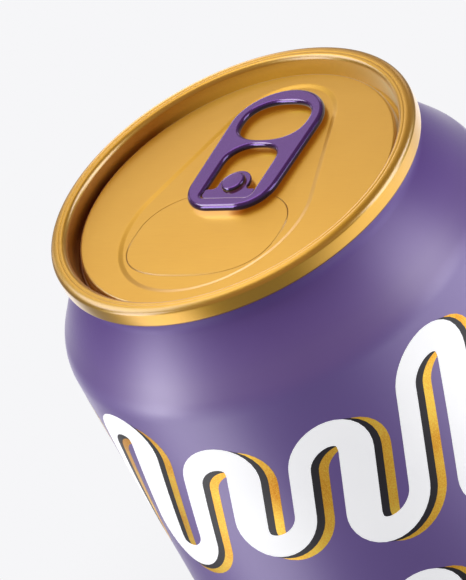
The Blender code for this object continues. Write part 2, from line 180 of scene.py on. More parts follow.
def bend(corner_point, before, after, radius, steps):
    """The arc that rounds a corner between the directions to two neighbouring points."""
    into = (corner_point[0] - before[0], corner_point[1] - before[1])
    out = (after[0] - corner_point[0], after[1] - corner_point[1])
    heading = math.atan2(into[1], into[0])
    turn = (math.atan2(out[1], out[0]) - heading + math.pi) % (2 * math.pi) - math.pi
    back = radius * math.tan(abs(turn) / 2)
    side = math.copysign(1, turn)
    start_x = corner_point[0] - back * math.cos(heading)
    start_y = corner_point[1] - back * math.sin(heading)
    centre = (
        start_x - side * radius * math.sin(heading),
        start_y + side * radius * math.cos(heading),
    )
    first = math.degrees(heading) - side * 90
    return arc(centre, radius, first, first + math.degrees(turn), steps)


def superellipse(centre_y, half_width, half_height, power, start, end, steps):
    """Part of a superellipse about (0, centre_y), between two angles in degrees."""
    points = []
    for i in range(steps + 1):
        angle = math.radians(start + (end - start) * i / steps)
        c, s = math.cos(angle), math.sin(angle)
        x = math.copysign(abs(c) ** (2 / power), c) * half_width
        y = math.copysign(abs(s) ** (2 / power), s) * half_height
        points.append((x, centre_y + y))
    return points


def evenly(outline, count):
    """A closed outline resampled to a number of points the same distance apart."""
    loop = np.array(outline + outline[:1])
    along = np.concatenate([[0], np.cumsum(np.linalg.norm(np.diff(loop, axis=0), axis=1))])
    places = np.linspace(0, along[-1], count, endpoint=False)
    xs = np.interp(places, along, loop[:, 0])
    ys = np.interp(places, along, loop[:, 1])
    return list(zip(xs.tolist(), ys.tolist()))


def circle(radius, steps):
    return arc((0, 0), radius, 0, 360 * (steps - 1) / steps, steps - 1)


# ---------------------------------------------------------------- meshes


class Surface:
    """Points and faces gathered loop by loop, then made into one mesh."""

    def __init__(self):
        self.points = []
        self.faces = []
        self.slots = []

    def loop(self, outline, z):
        start = len(self.points)
        self.points += [(x, y, z) for x, y in outline]
        return list(range(start, len(self.points)))

    def ring(self, radius, z):
        return self.loop(circle(radius, TURN_STEPS), z)

    def band(self, one, other, slot=0):
        for i in range(len(one)):
            self.faces.append((one[i - 1], other[i - 1], other[i], one[i]))
            self.slots.append(slot)

    def bands(self, loops):
        for one, other in zip(loops, loops[1:]):
            self.band(one, other)

    def cap(self, loop, z, slot):
        """Closes a ring with a fan about the axis."""
        self.points.append((0, 0, z))
        pole = len(self.points) - 1
        for i in range(len(loop)):
            self.faces.append((loop[i - 1], loop[i], pole))
            self.slots.append(slot)

    def fill(self, *loops):
        """Fills the flat region that an odd number of the loops goes round."""
        index = [i for loop in loops for i in loop]
        flat = [Vector(self.points[i][:2]) for i in index]
        edges = []
        for loop in loops:
            first = len(edges)
            edges += [(first + i, first + (i + 1) % len(loop)) for i in range(len(loop))]
        made = delaunay_2d_cdt(flat, edges, [], 0, 1e-7)
        triangles = np.array(made[2])
        places = np.array([tuple(point) for point in made[0]])
        middle = places[triangles].mean(axis=1)
        a = np.array([tuple(flat[i]) for i, _ in edges])
        b = np.array([tuple(flat[j]) for _, j in edges])
        across = (a[:, 1] > middle[:, 1:]) != (b[:, 1] > middle[:, 1:])
        with np.errstate(divide="ignore", invalid="ignore"):
            share = (middle[:, 1:] - a[:, 1]) / (b[:, 1] - a[:, 1])
        to_right = middle[:, :1] < a[:, 0] + share * (b[:, 0] - a[:, 0])
        inside = (across & to_right).sum(axis=1) % 2 == 1
        for triangle in triangles[inside]:
            self.faces.append(tuple(index[made[3][i][0]] for i in triangle))
            self.slots.append(0)

    def made(self, name, looks, sharp=40):
        mesh = bpy.data.meshes.new(name)
        mesh.from_pydata([(x * MM, y * MM, z * MM) for x, y, z in self.points], [], self.faces)
        for look in looks:
            mesh.materials.append(look)
        mesh.polygons.foreach_set("material_index", self.slots)
        work = bmesh.new()
        work.from_mesh(mesh)
        bmesh.ops.recalc_face_normals(work, faces=work.faces)
        work.to_mesh(mesh)
        work.free()
        mesh.shade_smooth()
        mesh.set_sharp_from_angle(angle=math.radians(sharp))
        thing = bpy.data.objects.new(name, mesh)
        bpy.context.scene.collection.objects.link(thing)
        return thing


def turned(name, profile, looks, slot_of=None, sharp=40):
    """A profile of (radius, z) spun about Z. slot_of gives a band's material from its profile index."""
    surface = Surface()
    loops = [surface.ring(r, z) if r > 1e-6 else z for r, z in profile]
    for i, (one, other) in enumerate(zip(loops, loops[1:])):
        slot = slot_of(i) if slot_of else 0
        if isinstance(one, float):
            surface.cap(other, one, slot)
        elif isinstance(other, float):
            surface.cap(one, other, slot)
        else:
            surface.band(one, other, slot)
    return surface.made(name, looks, sharp)


# ---------------------------------------------------------------- node helpers for materials


class Nodes:
    """Short calls for building the node tree of a material or a world."""

    def __init__(self, owner):
        owner.use_nodes = True
        self.material = owner
        self.tree = owner.node_tree
        self.shader = self.tree.nodes.get("Principled BSDF")

    def put(self, node, socket, value):
        if isinstance(value, bpy.types.NodeSocket):
            self.tree.links.new(value, node.inputs[socket])
        else:
            node.inputs[socket].default_value = value

    def add(self, kind, inputs=None, **settings):
        """Adds a node, sets or links its inputs and gives its outputs."""
        node = self.tree.nodes.new("ShaderNode" + kind)
        for name, value in settings.items():
            setattr(node, name, value)
        for socket, value in (inputs or {}).items():
            self.put(node, socket, value)
        return node.outputs

    def place(self, kind="Object"):
        return self.add("TexCoord")[kind]

    def split(self, kind="Object"):
        """X, Y and Z of a texture coordinate."""
        parts = self.add("SeparateXYZ", {"Vector": self.place(kind)})
        return [parts[axis] for axis in "XYZ"]

    def ray(self, kind):
        """1 where the surface is seen by this kind of ray."""
        return self.add("LightPath")[f"Is {kind} Ray"]

    def object_space(self, scale=(1, 1, 1)):
        return self.add("Mapping", {"Vector": self.place(), "Scale": scale})["Vector"]

    def along(self, vector, way):
        return self.add("VectorMath", {0: vector, 1: way}, operation="DOT_PRODUCT")["Value"]

    def noise(self, vector, scale, detail=3.0, roughness=0.55):
        inputs = {"Vector": vector, "Scale": scale, "Detail": detail, "Roughness": roughness}
        return self.add("TexNoise", inputs)["Fac"]

    def remap(self, value, low, high, to_low, to_high):
        inputs = {"Value": value, "From Min": low, "From Max": high}
        inputs |= {"To Min": to_low, "To Max": to_high}
        return self.add("MapRange", inputs, clamp=True)["Result"]

    def maths(self, operation, one, other=0.0):
        return self.add("Math", {0: one, 1: other}, operation=operation)["Value"]

    def mix(self, factor, *colours):
        one, other = (c if isinstance(c, bpy.types.NodeSocket) else (*c, 1) for c in colours)
        return self.add("Mix", {0: factor, 6: one, 7: other}, data_type="RGBA")[2]

    def bump(self, height, distance, strength, before=None):
        inputs = {"Height": height, "Distance": distance, "Strength": strength}
        if before is not None:
            inputs["Normal"] = before
        return self.add("Bump", inputs)["Normal"]

    def vector(self, x, y, z):
        return self.add("CombineXYZ", {"X": x, "Y": y, "Z": z})["Vector"]

    def cylinder_space(self):
        """The way round the can in turns (-0.5 to 0.5), the distance from its axis, and the height."""
        x, y, z = self.split()
        turn = self.maths("DIVIDE", self.maths("ARCTAN2", y, x), 2 * math.pi)
        squares = [self.maths("MULTIPLY", value, value) for value in (x, y)]
        return turn, self.maths("SQRT", self.maths("ADD", *squares)), z

    def mottle(self, scale, one, other, detail=3):
        """Two colours mixed by a soft noise, and the noise itself."""
        cloud = self.noise(self.object_space(), scale, detail=detail)
        return self.mix(self.remap(cloud, 0.3, 0.7, 0.0, 1.0), one, other), cloud

    def finish(self, looks):
        """Sets the shader's inputs and gives the material."""
        for socket, value in looks.items():
            self.put(self.shader, socket, value)
        return self.material


def srgb(red, green, blue):
    """A colour given as 0 to 255 in sRGB, as Blender's linear values."""
    return tuple(
        value / 12.92 if value <= 0.04045 else ((value + 0.055) / 1.055) ** 2.4
        for value in (red / 255, green / 255, blue / 255)
    )


# ---------------------------------------------------------------- materials


# Where the countersink's shade fades in and out again: two pairs of radii, and a pair of heights.
SHADE_IN, SHADE_OUT = (24.6, 24.9), (26.0, 26.3)
SHADE_HEIGHTS = (PANEL_Z - 0.8, PANEL_Z + 0.4)
# The wall behind the panel, as the camera sees it: its azimuth, and how far back shade and glow run.
REAR_TURN = CAMERA_TURN + math.radians(130)
REAR_SHADE_END, REAR_GLOW = 10, (11, 23)


def gold_lacquer():
    """Gold lacquer over rolled aluminium: a fine grain and faint mottling under a clear coat."""
    n = Nodes(bpy.data.materials.new("end_gold"))
    grain = n.noise(n.object_space((70, 2600, 400)), 4.0, detail=5)
    speck = n.noise(n.object_space(), 3200.0, detail=2)
    base, cloud = n.mottle(70.0, srgb(218, 163, 32), srgb(222, 168, 40))
    base = n.mix(n.remap(grain, 0.3, 0.7, 0.0, 0.16), base, srgb(196, 136, 26))
    _, radius, height = n.cylinder_space()
    rear = n.along(n.place(), direction(REAR_TURN, 0))
    low = n.remap(height, SHADE_HEIGHTS[0] * MM, SHADE_HEIGHTS[1] * MM, 1.0, 0.0)
    inside = n.remap(radius, SHADE_OUT[0] * MM, SHADE_OUT[1] * MM, 1.0, 0.0)
    outside = n.remap(radius, SHADE_IN[0] * MM, SHADE_IN[1] * MM, 0.0, 1.0)
    shade = n.maths("MULTIPLY", low, n.maths("MULTIPLY", inside, outside))
    shade = n.maths("MULTIPLY", shade, n.remap(rear, 0.0, REAR_SHADE_END * MM, 1.0, 0.0))
    base = n.mix(shade, base, srgb(120, 66, 6))
    # Seen in its own reflections, the gold is painted paler, rougher and uncoated, and its rear wall is
    # given a painted glow.
    again = n.ray("Glossy")
    base = n.mix(again, base, srgb(206, 160, 96))
    glow = n.remap(rear, REAR_GLOW[0] * MM, REAR_GLOW[1] * MM, 0.0, 0.6)
    rough = n.remap(grain, 0.25, 0.75, 0.335, 0.355)
    rough = n.maths("ADD", rough, n.remap(cloud, 0.3, 0.7, -0.01, 0.015))
    coat = n.remap(n.split("Normal")[2], 0.8, 0.98, 1.0, 0.5)
    fine = n.bump(grain, 0.0000003, 0.2)
    return n.finish({
        "Base Color": base,
        "Emission Color": (*srgb(192, 212, 186), 1),
        "Emission Strength": n.maths("MULTIPLY", again, glow),
        "Metallic": 1.0,
        "Roughness": n.maths("ADD", rough, n.maths("MULTIPLY", again, 0.4)),
        "Coat Weight": n.maths("MULTIPLY", n.maths("SUBTRACT", 1.0, again), coat),
        "Coat IOR": 1.6,
        "Coat Roughness": 0.22,
        "Normal": n.bump(speck, 0.0000002, 0.1, fine),
    })


def tab_purple():
    """Purple-coated aluminium with a gloss: faint drawing lines, and a painted navy shade where it
    turns down.
    """
    n = Nodes(bpy.data.materials.new("tab_purple"))
    lines = n.noise(n.object_space((900, 60, 400)), 3.0, detail=2)
    base, _ = n.mottle(160.0, srgb(92, 42, 132), srgb(96, 45, 136))
    # Painted shade: where the surface turns down, its colour darkens to navy.
    turned_down = n.remap(n.split("Normal")[2], 0.3, 0.9, 1.0, 0.0)
    base = n.mix(turned_down, base, srgb(16, 2, 72))
    # Seen in the gold round it, the tab is painted as a warm shade with a glow, and the left of its
    # nose as a pale light: painted reflections.
    again = n.ray("Glossy")
    base = n.mix(again, base, srgb(60, 48, 36))
    x, y, z = n.split()
    nose = n.remap(y, (TAB_NOSE + 2.4) * MM, (TAB_NOSE + 1.2) * MM, 0.0, 1.0)
    nose = n.maths("MULTIPLY", nose, n.remap(x, 1.0 * MM, 4.0 * MM, 1.0, 0.0))
    high = n.remap(z, (TAB_BOTTOM_Z + 0.1) * MM, (TAB_BOTTOM_Z + 0.6) * MM, 0.0, 1.0)
    glow = n.mix(nose, srgb(176, 124, 62), srgb(216, 214, 255))
    glow = n.mix(n.maths("MAXIMUM", high, nose), srgb(176, 120, 50), glow)
    strength = n.maths("ADD", n.maths("MULTIPLY", nose, 1.5), 0.62)
    return n.finish({
        "Base Color": base,
        "Emission Color": glow,
        "Emission Strength": n.maths("MULTIPLY", again, strength),
        "Metallic": 0.8,
        "Roughness": n.remap(lines, 0.25, 0.75, 0.15, 0.19),
        "Coat Weight": n.remap(turned_down, 0.0, 1.0, 0.5, 1.0),
        "Coat IOR": 1.6,
        "Coat Roughness": 0.08,
        "Normal": n.bump(lines, 0.0000006, 0.2),
    })


def body_purple():
    """Matte purple overvarnish on ironed aluminium: upright ironing lines, fine orange peel, scuffs."""
    n = Nodes(bpy.data.materials.new("body_purple"))
    turn, _, height = n.cylinder_space()
    ironing = n.noise(n.vector(turn, 0.0, height), 320.0, detail=5)
    peel = n.noise(n.object_space(), 2200.0, detail=3)
    base, _ = n.mottle(45.0, srgb(98, 67, 152), srgb(103, 72, 158))
    base = n.mix(n.remap(peel, 0.35, 0.75, 0.0, 0.12), base, srgb(110, 84, 164))
    scuff_noise = n.noise(n.object_space((1, 1, 0.35)), 700.0, detail=6, roughness=0.7)
    low_band = n.remap(height, 2.0 * MM, 9.0 * MM, 1.0, 0.0)
    scuff = n.maths("MULTIPLY", n.remap(scuff_noise, 0.6, 0.75, 0.0, 1.0), low_band)
    base = n.mix(scuff, base, srgb(186, 176, 204))
    # Painted shade: the base darkens towards the neck, under the rim, where the coat also fades.
    neck_shade = n.remap(height, (HEIGHT - 9.7) * MM, (HEIGHT - 3.7) * MM, 0.0, 0.35)
    base = n.mix(neck_shade, base, srgb(70, 44, 118))
    rough = n.remap(peel, 0.3, 0.7, 0.46, 0.54)
    fine = n.bump(peel, 0.000004, 0.35)
    return n.finish({
        "Base Color": base,
        "Metallic": 0.15,
        "Roughness": n.maths("ADD", rough, n.remap(ironing, 0.3, 0.7, -0.02, 0.02)),
        "Coat Weight": n.remap(height, (HEIGHT - 11.7) * MM, (HEIGHT - 5.2) * MM, 1.0, 0.25),
        "Coat Roughness": 0.39,
        "Coat IOR": 1.9,
        "Normal": n.bump(ironing, 0.00001, 0.12, fine),
    })


def bare_base():
    """Varnished bare aluminium of the base dome, with the drawing tool's rings."""
    n = Nodes(bpy.data.materials.new("base_aluminium"))
    turn, radius, height = n.cylinder_space()
    rings = n.noise(n.vector(n.maths("MULTIPLY", turn, 0.004), radius, height), 1400.0, detail=4)
    base, _ = n.mottle(120.0, srgb(196, 197, 200), srgb(214, 215, 217), detail=4)
    # Darker grey along the lowest 0.4 mm of the foot.
    lowest_edge = n.remap(height, 0.0, 0.4 * MM, 1.0, 0.0)
    return n.finish({
        "Base Color": n.mix(n.maths("MULTIPLY", lowest_edge, 0.6), base, srgb(150, 150, 153)),
        "Metallic": 1.0,
        "Roughness": n.remap(rings, 0.3, 0.7, 0.22, 0.38),
        "Normal": n.bump(rings, 0.00001, 0.3),
    })


def inner_lacquer():
    """Clear, slightly straw-coloured lacquer inside the body."""
    n = Nodes(bpy.data.materials.new("inner_lacquer"))
    turn, _, height = n.cylinder_space()
    lines = n.noise(n.vector(n.maths("MULTIPLY", turn, 0.5), 0.0, height), 500.0, detail=4)
    base, _ = n.mottle(70.0, srgb(205, 200, 186), srgb(218, 213, 200))
    return n.finish({
        "Base Color": base,
        "Metallic": 0.95,
        "Roughness": n.remap(lines, 0.3, 0.7, 0.25, 0.4),
        "Coat Weight": 0.5,
        "Normal": n.bump(lines, 0.000008, 0.2),
    })


def gasket_rubber():
    """Cured sealing compound: matte grey, slightly mottled and grainy."""
    n = Nodes(bpy.data.materials.new("gasket_compound"))
    grit = n.noise(n.object_space(), 3000.0, detail=4)
    cloud = n.noise(n.object_space(), 400.0, detail=3)
    return n.finish({
        "Base Color": n.mix(cloud, srgb(150, 148, 145), srgb(172, 170, 166)),
        "Roughness": n.remap(grit, 0.3, 0.7, 0.6, 0.8),
        "Normal": n.bump(grit, 0.00002, 0.4),
    })


def ink(name, colour, other, metallic, rough, glow):
    """Printed ink under the matte varnish, with the press's slight mottle. glow lifts a pale ink."""
    n = Nodes(bpy.data.materials.new(name))
    cloud = n.noise(n.object_space(), 90.0, detail=2)
    speck = n.noise(n.object_space(), 5200.0, detail=2)
    peel = n.noise(n.object_space(), 2200.0, detail=3)
    share = n.maths("ADD", n.remap(cloud, 0.35, 0.65, 0, 0.7), n.remap(speck, 0.4, 0.7, 0, 0.5))
    base = n.mix(share, colour, other)
    return n.finish({
        "Base Color": base,
        "Emission Color": base,
        "Emission Strength": glow,
        "Metallic": metallic,
        "Roughness": n.remap(peel, 0.3, 0.7, rough - 0.04, rough + 0.05),
        "Coat Weight": 0.2,
        "Coat Roughness": 0.35,
        "Normal": n.bump(peel, 0.000004, 0.35),
    })


def stand_for(piece, body, node):
    """Puts a piece on its body in place of a CAD node."""
    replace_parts(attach(piece, body), node)


# ---------------------------------------------------------------- the can body


def base_path():
    """The base from its centre to the bottom of the wall, as the middle of its sheet."""
    dome_steps = 30
    dome = []
    for i in range(dome_steps + 1):
        radius = DOME_EDGE_RADIUS * i / dome_steps
        drop = DOME_RADIUS - math.sqrt(DOME_RADIUS**2 - radius**2)
        dome.append((radius, DOME_HEIGHT - drop))
    floor = DOME_SHEET / 2
    inner_foot = STAND_RADIUS - STAND_LAND / 2
    outer_foot = STAND_RADIUS + STAND_LAND / 2
    leg_top = (DOME_EDGE_RADIUS + 0.9, dome[-1][1] - 0.5)
    leg_foot = (inner_foot - STAND_BEND * 0.8, floor)
    wall_radius = BODY_RADIUS - WALL_SHEET / 2
    chime_foot = (outer_foot + 0.45, floor)
    chime_top = (wall_radius, floor + (wall_radius - chime_foot[0]) * math.tan(CHIME_SLOPE))
    path = dome
    path += bend(leg_top, dome[-1], leg_foot, 0.7, 8)
    path += bend(leg_foot, leg_top, (inner_foot, floor), STAND_BEND, 10)
    path += bend(chime_foot, (inner_foot, floor), chime_top, STAND_BEND, 8)
    path += bend(chime_top, chime_foot, (wall_radius, HEIGHT / 2), CHIME_BEND, CHIME_STEPS)
    return path


def shoulder_path():
    """From the top of the wall over the shoulder and neck to the tip of the body hook."""
    wall_radius = BODY_RADIUS - WALL_SHEET / 2
    rise = (BODY_RADIUS - NECK_RADIUS - NECK_SHEET / 2) / math.tan(SHOULDER_SLOPE)
    shoulder_bottom = (wall_radius, HEIGHT - SHOULDER_START - rise)
    shoulder_top = (NECK_RADIUS, HEIGHT - SHOULDER_START)
    radius = (BODY_HOOK_RADIUS - NECK_RADIUS) / 2
    centre = (NECK_RADIUS + radius, HEIGHT - BODY_HOOK_TOP - NECK_SHEET / 2 - radius)
    path = bend(shoulder_bottom, (wall_radius, 0), shoulder_top, SHOULDER_BEND, SHOULDER_STEPS)
    path += bend(shoulder_top, shoulder_bottom, (NECK_RADIUS, HEIGHT), NECK_BEND, 12)
    path += arc(centre, radius, 180, 0, 12)
    path.append((BODY_HOOK_RADIUS, HEIGHT - BODY_HOOK_TIP))
    return path


def make_body(printed, bare, lacquer):
    base = base_path()
    shoulder = shoulder_path()
    chime_rows, wall_rows = CHIME_STEPS + 1, SHOULDER_STEPS + 1
    thickness = [DOME_SHEET] * (len(base) - chime_rows) + [WALL_SHEET] * (chime_rows + wall_rows)
    thickness += [NECK_SHEET] * (len(shoulder) - wall_rows)
    outside, inside = sheet(base + shoulder, thickness)
    outside[0] = (0.0, outside[0][1])
    inside[0] = (0.0, inside[0][1])
    profile = inside + outside[::-1]
    # The print's varnish comes down to the last few rows of the foot's outer bend.
    bare_rows = len(base) - chime_rows - 4

    def slot_of(row):
        if row < len(inside):
            return 2
        return 1 if len(profile) - 1 - row <= bare_rows else 0

    body = turned("can_body_shell", profile, (printed, bare, lacquer), slot_of)
    stand_for(body, "can", "can_body")


# ---------------------------------------------------------------- the can end


def end_path():
    """The middle of the end's sheet, from the tip of its cover hook to the edge of its panel."""
    half = END_SHEET / 2
    wall = RIM_RADIUS - half
    hook_bend = (wall - COVER_HOOK_RADIUS) / 2
    hook_centre = (COVER_HOOK_RADIUS + hook_bend, HEIGHT - SEAM_HEIGHT + half + hook_bend)
    crown = RIM_RADIUS - RIM_CROWN_WIDTH
    ledge_bend = RIM_LEDGE_BEND - half
    chuck_top = CHUCK_TOP_RADIUS + half
    ledge_height = HEIGHT - half - RIM_GROOVE_DEPTH / 2
    panel_wall = PANEL_RADIUS - half
    sink = (CHUCK_BOTTOM_RADIUS + half - panel_wall) / 2
    sink_centre = (panel_wall + sink, HEIGHT - COUNTERSINK_DEPTH + half + sink)
    panel_bend = PANEL_BEND - half
    panel_height = PANEL_Z - half
    panel_centre = (panel_wall - panel_bend, panel_height - panel_bend)
    path = [(COVER_HOOK_RADIUS, HEIGHT - COVER_HOOK_TIP)]
    path += arc(hook_centre, hook_bend, 180, 360, 16)
    crown_steps = 24
    for i in range(crown_steps + 1):
        angle = math.radians(90 * i / crown_steps)
        radius = crown + (RIM_CROWN_WIDTH - half) * math.cos(angle)
        rise = (RIM_CROWN_HEIGHT - half) * math.sin(angle)
        path.append((radius, HEIGHT - RIM_CROWN_HEIGHT + rise))
    groove_steps = 14
    for i in range(1, groove_steps):
        share = i / groove_steps
        drop = RIM_GROOVE_DEPTH * (math.sin(math.pi * share) ** 2 + share / 2)
        path.append((crown - RIM_GROOVE_WIDTH * share, HEIGHT - half - drop))
    path += arc((chuck_top + ledge_bend, ledge_height - ledge_bend), ledge_bend, 90, 180, 16)
    path += arc(sink_centre, sink, 0, -180, 14)
    path += arc(panel_centre, panel_bend, 0, 90, 12)
    path.append((path[-1][0] - 0.15, panel_height))
    return path


def recess_outline(inset):
    """The teardrop round the mouth and the tab: two circles and the straight lines that touch both."""
    wide = RECESS_MOUTH_RADIUS - inset
    narrow = RECESS_TAB_RADIUS - inset
    lean = math.degrees(math.asin((wide - narrow) / (RECESS_TAB_CENTRE - RECESS_MOUTH_CENTRE)))
    outline = arc((0, RECESS_TAB_CENTRE), narrow, lean, 180 - lean, 72)
    outline += arc((0, RECESS_MOUTH_CENTRE), wide, 180 - lean, 360 + lean, 120)
    return outline


def mouth_outline():
    """The scored line: an oval, straight along its hinge edge, with a notch round the rivet."""
    half_height = MOUTH_CENTRE - MOUTH_FRONT
    edge = MOUTH_HINGE_EDGE - MOUTH_CENTRE
    lift = math.degrees(math.asin((edge / half_height) ** (MOUTH_REAR_POWER / 2)))
    sizes = (MOUTH_CENTRE, MOUTH_HALF_WIDTH, half_height)
    right = superellipse(*sizes, MOUTH_REAR_POWER, 0, lift, 36)
    left = superellipse(*sizes, MOUTH_REAR_POWER, 180 - lift, 180, 36)
    front = superellipse(*sizes, MOUTH_FRONT_POWER, 180, 360, 140)
    half_notch = math.degrees(math.acos(-MOUTH_HINGE_EDGE / MOUTH_RIVET_CLEARANCE))
    notch = arc((0, 0), MOUTH_RIVET_CLEARANCE, -90 + half_notch, -90 - half_notch, 20)
    return right + notch + left[:-1] + front[:-1]


def score_side(surface, side):
    """One side of the score, from flat sheet down its groove to the underside. side is +1 or -1."""
    outline = mouth_outline()
    half, deep = SCORE_HALF_WIDTH, SCORE_DEPTH
    steps = [(half * 1.6, 0), (half, 0), (half * 0.82, deep * 0.06), (half * 0.2, deep * 0.92)]
    steps += [(SCORE_GAP, deep), (SCORE_GAP, END_SHEET), (half * 1.6, END_SHEET)]
    loops = [surface.loop(grown(outline, side * away), FLOOR_Z - drop) for away, drop in steps]
    surface.bands(loops)
    return loops[0], loops[-1]


def make_end(gold):
    surface = Surface()
    right, left = sheet(end_path(), END_SHEET)
    rings = [surface.ring(r, z) for r, z in right[::-1] + left]
    surface.bands(rings)
    edges = {True: rings[0], False: rings[-1]}
    slopes = {}
    steps = 10
    for top in (True, False):
        drop = 0 if top else END_SHEET
        loops = [surface.loop(recess_outline(-0.2), PANEL_Z - drop)]
        for i in range(steps + 1):
            share = i / steps
            ease = share - RECESS_SOFTNESS * math.sin(2 * math.pi * share) / (2 * math.pi)
            fall = (PANEL_Z - FLOOR_Z) * ease
            outline = recess_outline(RECESS_SLOPE_WIDTH * share)
            loops.append(surface.loop(outline, PANEL_Z - fall - drop))
        loops.append(surface.loop(recess_outline(RECESS_SLOPE_WIDTH + 0.06), FLOOR_Z - drop))
        surface.bands(loops)
        surface.fill(edges[top], loops[0])
        slopes[top] = loops[-1]
    mouth_top, mouth_under = score_side(surface, 1)
    hole = circle(RIVET_HOLE_RADIUS, 48)
    hole_top = surface.loop(hole, FLOOR_Z)
    hole_under = surface.loop(hole, FLOOR_UNDER_Z)
    surface.band(hole_top, hole_under)
    surface.fill(slopes[True], mouth_top, hole_top)
    surface.fill(slopes[False], mouth_under, hole_under)
    stand_for(surface.made("can_end_shell", (gold,)), "can", "can_end")


def make_tear_panel(gold):
    surface = Surface()
    top, under = score_side(surface, -1)
    surface.fill(top)
    surface.fill(under)
    panel = surface.made("tear_panel_shell", (gold,))
    stand_for(panel, "tear_panel", "tear_panel")


# ---------------------------------------------------------------- the tab and its rivet


def front_corners(half_width, front, corner, steps):
    """The rounded front of an outline, from its left side to its right."""
    x, y = half_width - corner, front + corner
    return arc((-x, y), corner, 180, 270, steps) + arc((x, y), corner, 270, 360, steps)


def tab_outline():
    centre = TAB_FINGER_END - TAB_FINGER_LENGTH
    finger = superellipse(centre, TAB_HALF_WIDTH, TAB_FINGER_LENGTH, 2.0, 0, 180, 160)
    return evenly(finger + front_corners(TAB_NOSE_HALF_WIDTH, TAB_NOSE, TAB_NOSE_CORNER, 60), 240)


def finger_hole_outline():
    sizes = (FINGER_HOLE_CENTRE, FINGER_HOLE_HALF_WIDTH, FINGER_HOLE_HALF_LENGTH)
    return evenly(superellipse(*sizes, HOLE_POWER, 0, 359, 359), 160)


def web_hole_outline():
    """The hole round the rivet: arched towards the finger end, square towards the nose."""
    sizes = (WEB_HOLE_ARCH_CENTRE, WEB_HOLE_HALF_WIDTH, WEB_HOLE_ARCH)
    arch = superellipse(*sizes, HOLE_POWER, 0, 180, 160)
    front = front_corners(WEB_HOLE_HALF_WIDTH, WEB_HOLE_FRONT, WEB_HOLE_CORNER, 16)
    return evenly(arch + front, 170)


def hem_profile(radius, lip):
    """A rolled edge as (distance in from the edge, depth), from the top face round to its underside.

    lip is how far the rolled-under end runs back under the sheet.
    """
    steps = 12
    inner = radius - TAB_SHEET
    outside = []
    inside = []
    for i in range(steps * 2 + 1):
        angle = math.radians(90 - 90 * i / steps)
        outside.append((radius - radius * math.cos(angle), radius - radius * math.sin(angle)))
        inside.append((radius - inner * math.cos(angle), radius - inner * math.sin(angle)))
    low = 2 * radius
    tip = [
        (radius + lip, low),
        (radius + lip + TAB_SHEET * 0.35, low - TAB_SHEET * 0.15),
        (radius + lip + TAB_SHEET * 0.5, low - TAB_SHEET * 0.5),
        (radius + lip + TAB_SHEET * 0.35, low - TAB_SHEET * 0.85),
        (radius + lip, low - TAB_SHEET),
    ]
    if lip == 0:
        # The arcs already end on the tip's first and last points.
        tip = tip[1:-1]
    guard = radius + 0.05
    return [(guard, 0)] + outside + tip + inside[::-1] + [(guard, TAB_SHEET)]


def hem(surface, outline, inwards, radius, lip):
    loops = []
    for away, depth in hem_profile(radius, lip):
        loops.append(surface.loop(grown(outline, -inwards * away), TAB_TOP_Z - depth))
    surface.bands(loops)
    return loops[0], loops[-1]


def make_tab(purple):
    surface = Surface()
    thick = (TAB_TOP_Z - TAB_BOTTOM_Z) / 2
    rim = hem(surface, tab_outline(), 1, thick, 0.35)
    finger = hem(surface, finger_hole_outline(), -1, HOLE_HEM, 0.0)
    web = hem(surface, web_hole_outline(), -1, HOLE_HEM, 0.0)
    surface.fill(rim[0], finger[0], web[0])
    surface.fill(rim[1], finger[1], web[1])
    stand_for(surface.made("tab_lever", (purple,)), "tab", "tab")


def island_outline():
    """The tongue's disc, a round-ended slot on each side of it, and the web that runs to the fold."""
    meet = math.degrees(math.asin(-SLOT_Y / ISLAND_RADIUS))
    disc = arc((0, 0), ISLAND_RADIUS, -meet, 180 + meet, 90)
    slot_x = ISLAND_RADIUS * math.cos(math.radians(meet)) + SLOT_RADIUS
    left = arc((-slot_x, SLOT_Y), SLOT_RADIUS, 0, -90, 14)[1:]
    right = arc((slot_x, SLOT_Y), SLOT_RADIUS, -90, -180, 14)[:-1]
    x, y = ISLAND_HALF_WIDTH - ISLAND_CORNER, SLOT_Y - SLOT_RADIUS - ISLAND_CORNER
    foot = arc((-x, y), ISLAND_CORNER, 90, 180, 10)
    foot += front_corners(ISLAND_HALF_WIDTH, ISLAND_FRONT, WEB_HOLE_CORNER, 16)
    foot += arc((x, y), ISLAND_CORNER, 0, 90, 10)
    return evenly(disc + left + foot + right, 480)


def make_island(purple):
    surface = Surface()
    outline = island_outline()
    hole = circle(RIVET_SHANK_RADIUS + 0.08, 64)
    soft = 0.07
    edge = [(soft * 1.5, 0), (soft, 0), (soft * 0.3, soft * 0.3), (0, soft)]
    top = TAB_TOP_Z - ISLAND_STEP
    steps = edge + [(away, ISLAND_SHEET - drop) for away, drop in reversed(edge)]
    rim = [surface.loop(grown(outline, -away), top - drop) for away, drop in steps]
    surface.bands(rim)
    bore = [surface.loop(hole, top), surface.loop(hole, top - ISLAND_SHEET)]
    surface.bands(bore)
    surface.fill(rim[0], bore[0])
    surface.fill(rim[-1], bore[1])
    stand_for(surface.made("tab_tongue", (purple,)), "tab_island", "tab_island")


def strip(name, path, half_width, thickness, steps_across, look):
    """A thin closed strip whose middle follows a path of (y, z), across X."""
    right, left = sheet(path, thickness)
    section = right + left[::-1]
    surface = Surface()
    count = len(section)
    lines = []
    for i in range(steps_across + 1):
        x = -half_width + 2 * half_width * i / steps_across
        start = len(surface.points)
        surface.points += [(x, y, z) for y, z in section]
        lines.append(list(range(start, start + count)))
    surface.bands(lines)
    for line in (lines[0], lines[-1]):
        pairs = len(right)
        for i in range(pairs - 1):
            quad = (line[i], line[i + 1], line[count - 2 - i], line[count - 1 - i])
            surface.faces.append(quad)
            surface.slots.append(0)
    return surface.made(name, (look,))


